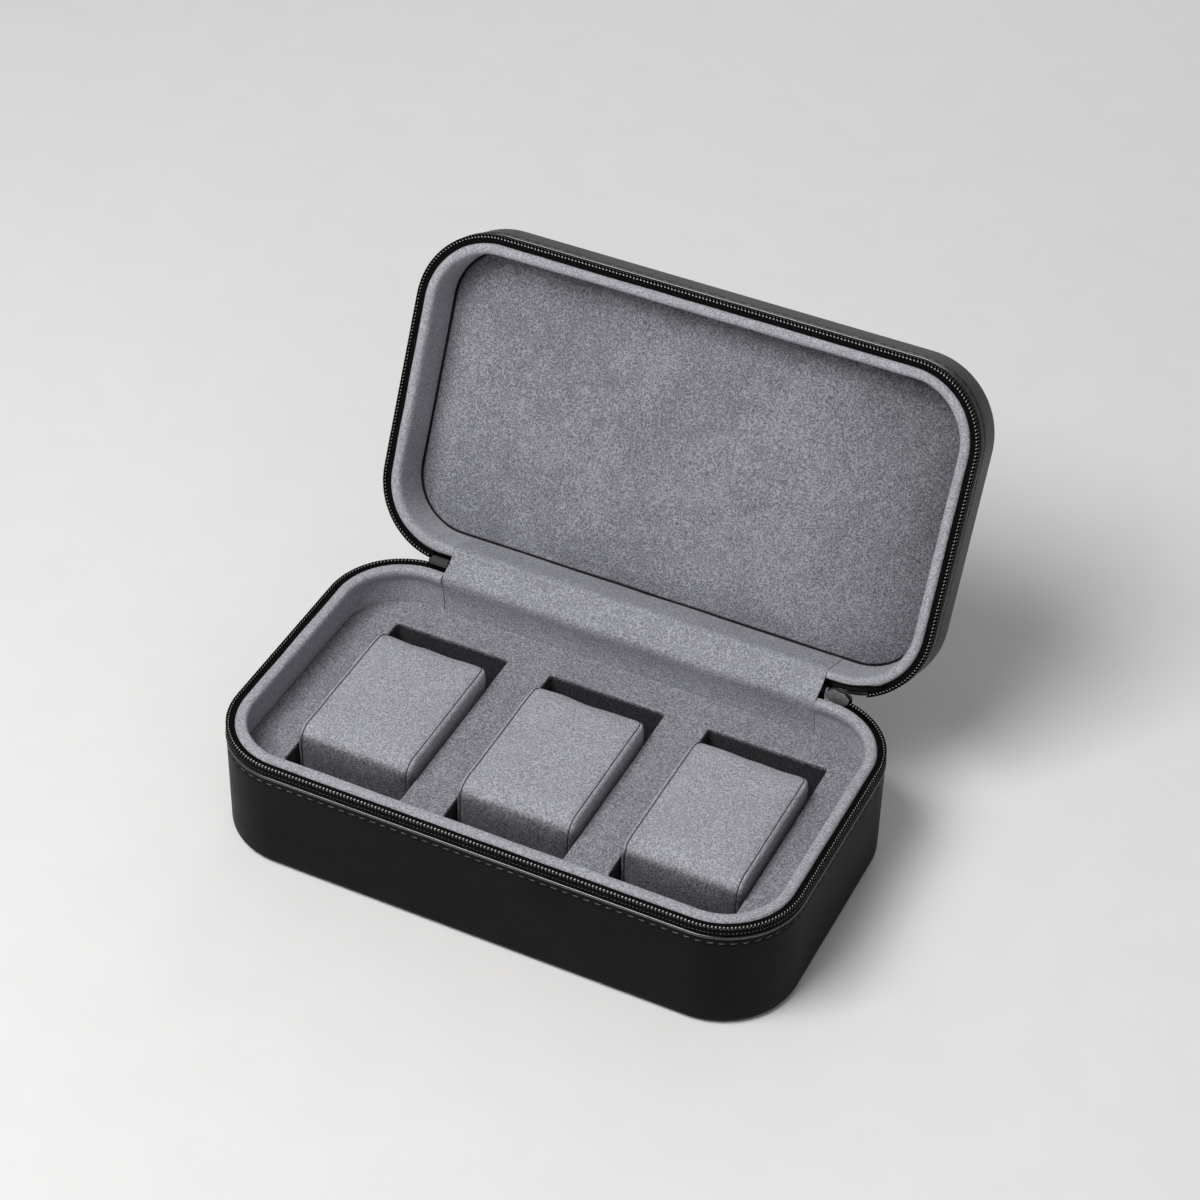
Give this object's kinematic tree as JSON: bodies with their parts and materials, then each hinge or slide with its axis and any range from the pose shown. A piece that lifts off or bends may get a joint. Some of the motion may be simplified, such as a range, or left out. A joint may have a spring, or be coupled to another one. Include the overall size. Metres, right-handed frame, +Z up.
{
  "type": "watch travel case",
  "caption": "Zip-round travel case for wristwatches, with a leaned-back padded lid and lift-out cushions in a lined tray.",
  "frame": {"origin": "middle of the flat underside, on the surface the case stands on", "axes": "+X to the right along the case's length, +Y towards the hinge, +Z up"},
  "size_m": [0.2106, 0.1888, 0.154],
  "materials": {
    "leather": "satin, fine grain",
    "leather_edge": "satin, burnished",
    "board": "matte",
    "zip_tape": "woven",
    "zip_teeth": "satin",
    "suede": "napped",
    "cushion_suede": "napped",
    "foam": "matte",
    "gunmetal": "satin"
  },
  "bodies": {
    "case_base": {"base_cover": "leather", "base_board": "board", "base_binding": "leather_edge", "base_tape": "zip_tape", "base_teeth": "zip_teeth", "base_lining": "suede", "tray_foam": "foam", "tray_top": "suede", "hinge_liner_lower": "suede", "hinge_spine_lower": "leather", "hinge_fold": "leather", "hinge_gusset": "suede", "zip_tab": "zip_tape"},
    "lid": {"lid_cover": "leather", "lid_board": "board", "lid_binding": "leather_edge", "lid_tape": "zip_tape", "lid_teeth": "zip_teeth", "lid_lining": "suede", "hinge_liner_upper": "suede", "hinge_spine_upper": "leather", "lid_pad": "suede"},
    "zip_slider": {"slider_body": "gunmetal", "slider_bail": "gunmetal"},
    "zip_pull": {"slider_pull": "gunmetal"},
    "cushion_1": {"cushion_1_wrap": "cushion_suede", "cushion_1_left": "cushion_suede", "cushion_1_right": "cushion_suede"},
    "cushion_2": {"cushion_2_wrap": "cushion_suede", "cushion_2_left": "cushion_suede", "cushion_2_right": "cushion_suede"},
    "cushion_3": {"cushion_3_wrap": "cushion_suede", "cushion_3_left": "cushion_suede", "cushion_3_right": "cushion_suede"}
  },
  "joints": [
    {"name": "lid_hinge", "type": "hinge", "parent": "case_base", "child": "lid", "pos_m": [0, 0.06, 0.0452], "axis": [-1, 0, 0], "range_deg": [-114.5, 0], "deforming": ["hinge_gusset"]},
    {"name": "slider_travel", "type": "hinge", "parent": "case_base", "child": "zip_slider", "pos_m": [0.077, 0.032, 0.045], "axis": [0, 0, -1], "range_deg": [0, 8]},
    {"name": "pull_swing", "type": "hinge", "parent": "zip_slider", "child": "zip_pull", "pos_m": [0.0775, 0.0624, 0.0437], "axis": [1, 0, 0], "range_deg": [0, 50]},
    {"name": "cushion_1_lift", "type": "slide", "parent": "case_base", "child": "cushion_1", "axis": [0, 0, 1], "range_m": [0, 0.07]},
    {"name": "cushion_2_lift", "type": "slide", "parent": "case_base", "child": "cushion_2", "axis": [0, 0, 1], "range_m": [0, 0.07]},
    {"name": "cushion_3_lift", "type": "slide", "parent": "case_base", "child": "cushion_3", "axis": [0, 0, 1], "range_m": [0, 0.07]}
  ]
}
